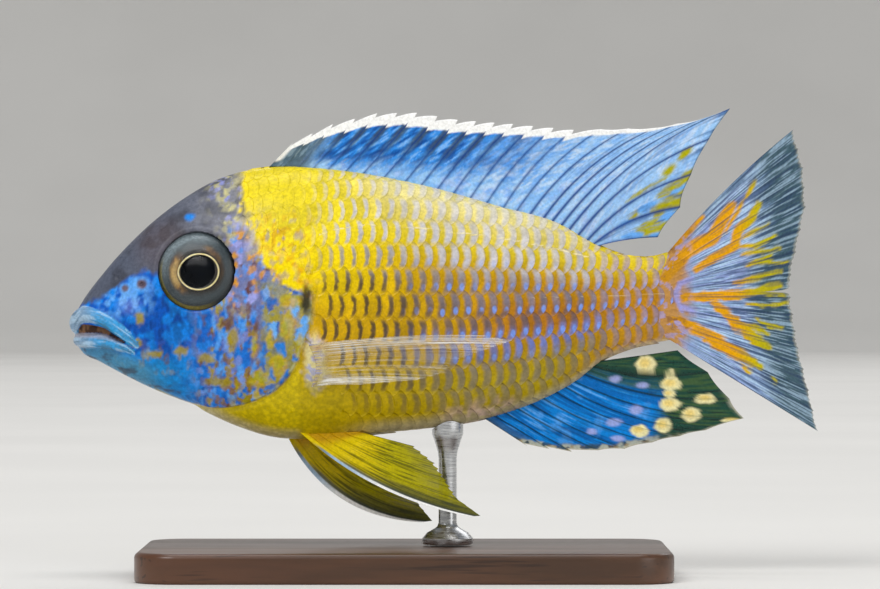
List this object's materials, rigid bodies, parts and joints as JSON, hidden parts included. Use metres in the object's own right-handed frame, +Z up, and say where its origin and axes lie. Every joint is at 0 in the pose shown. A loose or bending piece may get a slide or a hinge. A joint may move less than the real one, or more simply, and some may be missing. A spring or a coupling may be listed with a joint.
{
  "type": "peacock cichlid model",
  "caption": "Still, life-size model of a male peacock cichlid with all its fins spread, held level on a slim rod above a plain flat base.",
  "frame": {"origin": "centre of the underside of the stand's base", "axes": "+Z up, the fish faces -X with its left side towards -Y and its tail towards +X"},
  "size_m": [0.1248, 0.05, 0.0778],
  "materials": {
    "head_skin": "smooth, moist-looking skin, slate grey above and bright blue on the cheek",
    "gill_cover_skin": "glossy blue skin with olive-yellow patches",
    "lip_skin": "smooth pale blue-grey lips",
    "eye_lens": "clear glossy eye over a dark iris with a thin gold ring",
    "body_scales": "scaled, yellow-orange with violet-grey scale edges and a satin sheen",
    "median_fin": "thin rayed membrane, blue with a white margin or pale egg spots",
    "tail_fin": "thin rayed membrane, grey-blue with orange streaks",
    "pelvic_fin": "thin rayed membrane, golden olive with a pale leading edge",
    "pectoral_fin": "nearly clear rayed membrane",
    "stand_wood": "dark walnut, satin varnish",
    "stand_metal": "turned and brushed"
  },
  "bodies": {
    "root": {"head": "head_skin", "gill_cover_left": "gill_cover_skin", "gill_cover_right": "gill_cover_skin", "upper_jaw": "lip_skin", "lower_jaw": "lip_skin", "eye_left": "eye_lens", "eye_right": "eye_lens", "trunk": "body_scales", "tail_base": "body_scales", "dorsal_fin": "median_fin", "anal_fin": "median_fin", "caudal_fin": "tail_fin", "pelvic_fin_left": "pelvic_fin", "pelvic_fin_right": "pelvic_fin", "pectoral_fin_left": "pectoral_fin", "pectoral_fin_right": "pectoral_fin", "stand_base": "stand_wood", "stand_rod": "stand_metal"}
  },
  "joints": []
}
